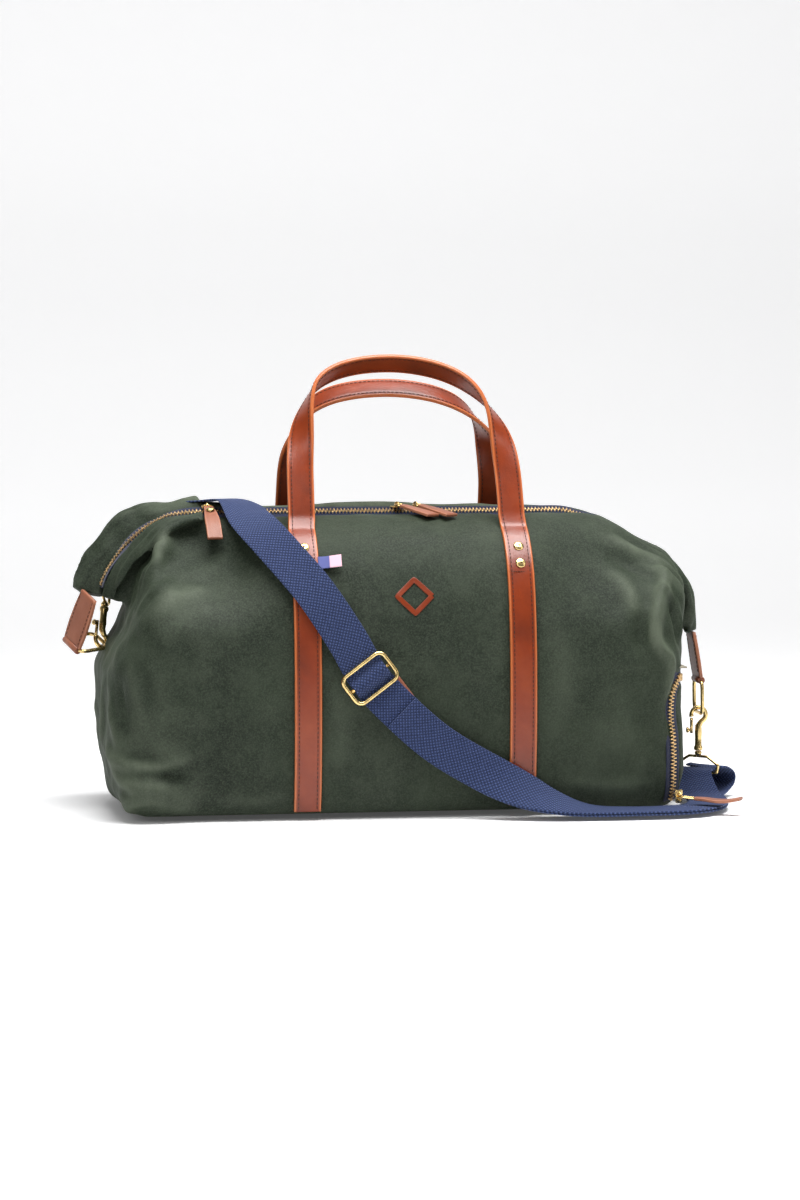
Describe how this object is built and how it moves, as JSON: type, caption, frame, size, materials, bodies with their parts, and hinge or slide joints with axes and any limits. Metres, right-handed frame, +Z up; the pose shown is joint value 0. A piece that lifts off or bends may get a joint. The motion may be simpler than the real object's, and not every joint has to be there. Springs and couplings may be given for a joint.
{
  "type": "weekender bag",
  "caption": "Soft canvas holdall with leather carry handles, a zipped top, a zipped shoe compartment at one end and a webbing shoulder strap on snap hooks.",
  "frame": {"origin": "centre of the base, on the surface the bag stands on", "axes": "+X along the bag towards its shoe compartment, -Y the front, +Z up"},
  "size_m": [0.6602, 0.2786, 0.4312],
  "materials": {
    "canvas": "waxed, mottled, fine weave",
    "lining": "plain weave",
    "leather": "satin, burnished edges",
    "tab_leather": "satin",
    "webbing": "ribbed weave",
    "tape": "herringbone weave",
    "brass": "polished, lightly aged",
    "label": "plain weave",
    "board": "matt"
  },
  "bodies": {
    "bag": {"back_panel": "canvas", "base_board": "board", "base_panel": "canvas", "emblem": "tab_leather", "front_panel": "canvas", "inner_pocket": "lining", "left_ear": "canvas", "left_end_panel": "canvas", "right_ear": "canvas", "right_end_panel": "canvas", "rivet_back_left_lower": "brass", "rivet_back_left_upper": "brass", "rivet_back_right_lower": "brass", "rivet_back_right_upper": "brass", "rivet_front_left_lower": "brass", "rivet_front_left_upper": "brass", "rivet_front_right_lower": "brass", "rivet_front_right_upper": "brass", "shoe_door": "canvas", "shoe_wall": "lining", "shoe_zip_tape": "tape", "shoe_zip_teeth": "brass", "side_tag": "label", "slide_buckle": "brass", "strap_back_left": "leather", "strap_back_right": "leather", "strap_doubled": "webbing", "strap_front_left": "leather", "strap_front_right": "leather", "strap_keeper": "tab_leather", "strap_ring_left": "brass", "strap_ring_right": "brass", "strap_webbing": "webbing", "tab_left": "tab_leather", "tab_right": "tab_leather", "zip_tape_back": "tape", "zip_tape_front": "tape", "zip_teeth_back": "brass", "zip_teeth_front": "brass"},
    "front_handle": {"front_handle": "leather"},
    "back_handle": {"back_handle": "leather"},
    "slider_left": {"slider_left": "brass"},
    "slider_middle": {"slider_middle": "brass"},
    "slider_right": {"slider_right": "brass"},
    "pull_left": {"pull_ring_left": "brass", "pull_left": "tab_leather", "pull_rivet_left": "brass"},
    "pull_middle": {"pull_ring_middle": "brass", "pull_middle": "tab_leather"},
    "pull_right": {"pull_ring_right": "brass", "pull_right": "tab_leather"},
    "shoe_slider": {"shoe_slider": "brass"},
    "shoe_pull": {"shoe_pull_link": "brass", "shoe_pull": "tab_leather"},
    "ring_left": {"ring_left": "brass"},
    "ring_right": {"ring_right": "brass"},
    "hook_left": {"hook_left": "brass"},
    "hook_right": {"hook_right": "brass"},
    "trigger_left": {"trigger_left": "brass"},
    "trigger_right": {"trigger_right": "brass"}
  },
  "joints": [
    {"name": "front_handle_fold", "type": "hinge", "parent": "bag", "child": "front_handle", "pos_m": [0, -0.06071, 0.27042], "axis": [1, 0, 0], "range_deg": [0, 105]},
    {"name": "back_handle_fold", "type": "hinge", "parent": "bag", "child": "back_handle", "pos_m": [0, 0.06071, 0.27042], "axis": [-1, 0, 0], "range_deg": [0, 105]},
    {"name": "left_slider_travel", "type": "slide", "parent": "bag", "child": "slider_left", "axis": [-1, 0, 0], "range_m": [0, 0.03]},
    {"name": "middle_slider_travel", "type": "slide", "parent": "bag", "child": "slider_middle", "axis": [-1, 0, 0], "range_m": [0, 0.115]},
    {"name": "right_slider_travel", "type": "slide", "parent": "bag", "child": "slider_right", "axis": [1, 0, 0], "range_m": [0, 0.16]},
    {"name": "left_pull_lift", "type": "hinge", "parent": "slider_left", "child": "pull_left", "pos_m": [-0.185, 0, 0.2867], "axis": [-0.9976, -0.0698, 0], "range_deg": [0, 45]},
    {"name": "middle_pull_lift", "type": "hinge", "parent": "slider_middle", "child": "pull_middle", "pos_m": [-0.001, 0, 0.2867], "axis": [-0.866, -0.5, 0], "range_deg": [0, 150]},
    {"name": "right_pull_lift", "type": "hinge", "parent": "slider_right", "child": "pull_right", "pos_m": [0.017, 0, 0.2867], "axis": [-0.866, -0.5, 0], "range_deg": [0, 150]},
    {"name": "shoe_slider_travel", "type": "slide", "parent": "bag", "child": "shoe_slider", "axis": [-0.0133, -0.1678, 0.9857], "range_m": [0, 0.04]},
    {"name": "shoe_pull_lift", "type": "hinge", "parent": "shoe_slider", "child": "shoe_pull", "pos_m": [0.25431, -0.11187, 0.012], "axis": [-0.4907, -0.8713, 0], "range_deg": [0, 70]},
    {"name": "left_ring_swing", "type": "hinge", "parent": "bag", "child": "ring_left", "pos_m": [-0.31408, 0.0074, 0.15375], "axis": [0.3978, -0.8412, -0.3663], "range_deg": [-1, 3]},
    {"name": "right_ring_swing", "type": "hinge", "parent": "bag", "child": "ring_right", "pos_m": [0.29839, 0, 0.11301], "axis": [0, 1, 0], "range_deg": [-2, 2]},
    {"name": "left_hook_swivel", "type": "hinge", "parent": "bag", "child": "hook_left", "pos_m": [-0.28115, 0.04003, 0.18749], "axis": [0.1205, 0.4718, 0.8734], "range_deg": [-8, 8]},
    {"name": "right_hook_swivel", "type": "hinge", "parent": "bag", "child": "hook_right", "pos_m": [0.29905, 0, 0.04262], "axis": [0, 0, -1], "range_deg": [-8, 8]},
    {"name": "left_trigger_pull", "type": "slide", "parent": "hook_left", "child": "trigger_left", "axis": [0.1205, 0.4718, 0.8734], "range_m": [0, 0.007], "stiffness_N_per_m": 300, "springref_m": -0.002},
    {"name": "right_trigger_pull", "type": "slide", "parent": "hook_right", "child": "trigger_right", "axis": [0, 0, -1], "range_m": [0, 0.007], "stiffness_N_per_m": 300, "springref_m": -0.002}
  ]
}
